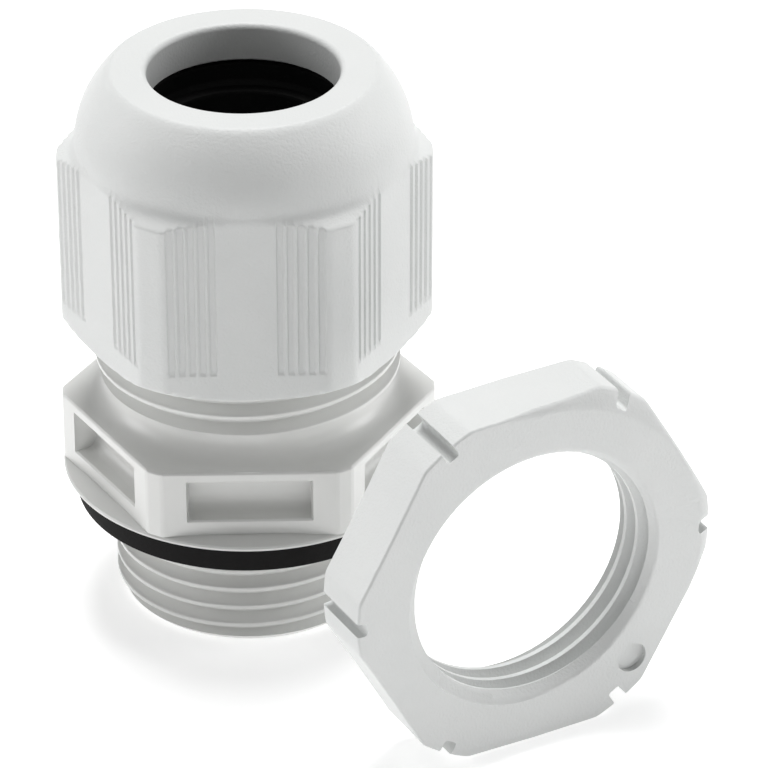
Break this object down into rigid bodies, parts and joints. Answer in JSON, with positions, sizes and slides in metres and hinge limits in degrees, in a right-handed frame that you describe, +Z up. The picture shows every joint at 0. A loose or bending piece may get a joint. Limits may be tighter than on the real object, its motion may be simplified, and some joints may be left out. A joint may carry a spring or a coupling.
{
  "type": "cable gland",
  "caption": "Plastic cable gland with a domed hexagonal nut, clamping fingers, a rubber seal and gasket, a metric connection thread and a loose notched locknut.",
  "frame": {"origin": "bottom centre of the gland and its locknut together, on the surface that both stand on", "axes": "+Z up along the gland's axis, +X from the gland towards the locknut, -Y towards the side of the gland that the locknut stands in front of"},
  "size_m": [0.0456, 0.042, 0.0416],
  "materials": {
    "nut_polyamide": "light grey polyamide, finely textured, matte",
    "body_polyamide": "light grey polyamide, smooth from the mould, satin to glossy",
    "seal_rubber": "black moulded rubber, dull",
    "gasket_rubber": "black rubber ring, dull"
  },
  "bodies": {
    "gland_body": {"gland_body": "body_polyamide", "connection_gasket": "gasket_rubber"},
    "sealing_insert": {"sealing_insert": "seal_rubber"},
    "dome_nut": {"dome_nut": "nut_polyamide"},
    "clamp_finger_01": {"clamp_finger_01": "body_polyamide"},
    "clamp_finger_02": {"clamp_finger_02": "body_polyamide"},
    "clamp_finger_03": {"clamp_finger_03": "body_polyamide"},
    "clamp_finger_04": {"clamp_finger_04": "body_polyamide"},
    "clamp_finger_05": {"clamp_finger_05": "body_polyamide"},
    "clamp_finger_06": {"clamp_finger_06": "body_polyamide"},
    "clamp_finger_07": {"clamp_finger_07": "body_polyamide"},
    "clamp_finger_08": {"clamp_finger_08": "body_polyamide"},
    "clamp_finger_09": {"clamp_finger_09": "body_polyamide"},
    "clamp_finger_10": {"clamp_finger_10": "body_polyamide"},
    "clamp_finger_11": {"clamp_finger_11": "body_polyamide"},
    "clamp_finger_12": {"clamp_finger_12": "body_polyamide"},
    "clamp_finger_13": {"clamp_finger_13": "body_polyamide"},
    "clamp_finger_14": {"clamp_finger_14": "body_polyamide"},
    "clamp_finger_15": {"clamp_finger_15": "body_polyamide"},
    "clamp_finger_16": {"clamp_finger_16": "body_polyamide"},
    "locknut": {"locknut": "nut_polyamide"}
  },
  "joints": [
    {"name": "dome_nut_travel", "type": "slide", "parent": "gland_body", "child": "sealing_insert", "axis": [0, 0, 1], "range_m": [-0.003, 0], "deforming": ["sealing_insert"]},
    {"name": "dome_nut_turn", "type": "hinge", "parent": "sealing_insert", "child": "dome_nut", "pos_m": [-0.00922, 0.00743, 0.03], "axis": [0, 0, 1], "range_deg": [-720, 0]},
    {"name": "clamp_finger_01_flex", "type": "hinge", "parent": "gland_body", "child": "clamp_finger_01", "pos_m": [0.00018, 0.00743, 0.02465], "axis": [0, -1, 0], "range_deg": [0, 8]},
    {"name": "clamp_finger_02_flex", "type": "hinge", "parent": "gland_body", "child": "clamp_finger_02", "pos_m": [-0.00053, 0.01103, 0.02465], "axis": [0.3827, -0.9239, 0], "range_deg": [0, 8]},
    {"name": "clamp_finger_03_flex", "type": "hinge", "parent": "gland_body", "child": "clamp_finger_03", "pos_m": [-0.00257, 0.01408, 0.02465], "axis": [0.7071, -0.7071, 0], "range_deg": [0, 8]},
    {"name": "clamp_finger_04_flex", "type": "hinge", "parent": "gland_body", "child": "clamp_finger_04", "pos_m": [-0.00562, 0.01611, 0.02465], "axis": [0.9239, -0.3827, 0], "range_deg": [0, 8]},
    {"name": "clamp_finger_05_flex", "type": "hinge", "parent": "gland_body", "child": "clamp_finger_05", "pos_m": [-0.00922, 0.01683, 0.02465], "axis": [1, 0, 0], "range_deg": [0, 8]},
    {"name": "clamp_finger_06_flex", "type": "hinge", "parent": "gland_body", "child": "clamp_finger_06", "pos_m": [-0.01281, 0.01611, 0.02465], "axis": [0.9239, 0.3827, 0], "range_deg": [0, 8]},
    {"name": "clamp_finger_07_flex", "type": "hinge", "parent": "gland_body", "child": "clamp_finger_07", "pos_m": [-0.01586, 0.01408, 0.02465], "axis": [0.7071, 0.7071, 0], "range_deg": [0, 8]},
    {"name": "clamp_finger_08_flex", "type": "hinge", "parent": "gland_body", "child": "clamp_finger_08", "pos_m": [-0.0179, 0.01103, 0.02465], "axis": [0.3827, 0.9239, 0], "range_deg": [0, 8]},
    {"name": "clamp_finger_09_flex", "type": "hinge", "parent": "gland_body", "child": "clamp_finger_09", "pos_m": [-0.01862, 0.00743, 0.02465], "axis": [0, 1, 0], "range_deg": [0, 8]},
    {"name": "clamp_finger_10_flex", "type": "hinge", "parent": "gland_body", "child": "clamp_finger_10", "pos_m": [-0.0179, 0.00383, 0.02465], "axis": [-0.3827, 0.9239, 0], "range_deg": [0, 8]},
    {"name": "clamp_finger_11_flex", "type": "hinge", "parent": "gland_body", "child": "clamp_finger_11", "pos_m": [-0.01586, 0.00078, 0.02465], "axis": [-0.7071, 0.7071, 0], "range_deg": [0, 8]},
    {"name": "clamp_finger_12_flex", "type": "hinge", "parent": "gland_body", "child": "clamp_finger_12", "pos_m": [-0.01281, -0.00125, 0.02465], "axis": [-0.9239, 0.3827, 0], "range_deg": [0, 8]},
    {"name": "clamp_finger_13_flex", "type": "hinge", "parent": "gland_body", "child": "clamp_finger_13", "pos_m": [-0.00922, -0.00197, 0.02465], "axis": [-1, 0, 0], "range_deg": [0, 8]},
    {"name": "clamp_finger_14_flex", "type": "hinge", "parent": "gland_body", "child": "clamp_finger_14", "pos_m": [-0.00562, -0.00125, 0.02465], "axis": [-0.9239, -0.3827, 0], "range_deg": [0, 8]},
    {"name": "clamp_finger_15_flex", "type": "hinge", "parent": "gland_body", "child": "clamp_finger_15", "pos_m": [-0.00257, 0.00078, 0.02465], "axis": [-0.7071, -0.7071, 0], "range_deg": [0, 8]},
    {"name": "clamp_finger_16_flex", "type": "hinge", "parent": "gland_body", "child": "clamp_finger_16", "pos_m": [-0.00053, 0.00383, 0.02465], "axis": [-0.3827, -0.9239, 0], "range_deg": [0, 8]},
    {"name": "locknut_slide", "type": "slide", "parent": "gland_body", "child": "locknut", "axis": [1, 0, 0], "range_m": [-0.01, 0]}
  ],
  "couplings": [
    {"joint": "dome_nut_turn", "follows": "dome_nut_travel", "rad_per_m": 4188.8},
    {"joint": "clamp_finger_01_flex", "follows": "dome_nut_travel", "rad_per_m": -46.542},
    {"joint": "clamp_finger_02_flex", "follows": "dome_nut_travel", "rad_per_m": -46.542},
    {"joint": "clamp_finger_03_flex", "follows": "dome_nut_travel", "rad_per_m": -46.542},
    {"joint": "clamp_finger_04_flex", "follows": "dome_nut_travel", "rad_per_m": -46.542},
    {"joint": "clamp_finger_05_flex", "follows": "dome_nut_travel", "rad_per_m": -46.542},
    {"joint": "clamp_finger_06_flex", "follows": "dome_nut_travel", "rad_per_m": -46.542},
    {"joint": "clamp_finger_07_flex", "follows": "dome_nut_travel", "rad_per_m": -46.542},
    {"joint": "clamp_finger_08_flex", "follows": "dome_nut_travel", "rad_per_m": -46.542},
    {"joint": "clamp_finger_09_flex", "follows": "dome_nut_travel", "rad_per_m": -46.542},
    {"joint": "clamp_finger_10_flex", "follows": "dome_nut_travel", "rad_per_m": -46.542},
    {"joint": "clamp_finger_11_flex", "follows": "dome_nut_travel", "rad_per_m": -46.542},
    {"joint": "clamp_finger_12_flex", "follows": "dome_nut_travel", "rad_per_m": -46.542},
    {"joint": "clamp_finger_13_flex", "follows": "dome_nut_travel", "rad_per_m": -46.542},
    {"joint": "clamp_finger_14_flex", "follows": "dome_nut_travel", "rad_per_m": -46.542},
    {"joint": "clamp_finger_15_flex", "follows": "dome_nut_travel", "rad_per_m": -46.542},
    {"joint": "clamp_finger_16_flex", "follows": "dome_nut_travel", "rad_per_m": -46.542}
  ]
}
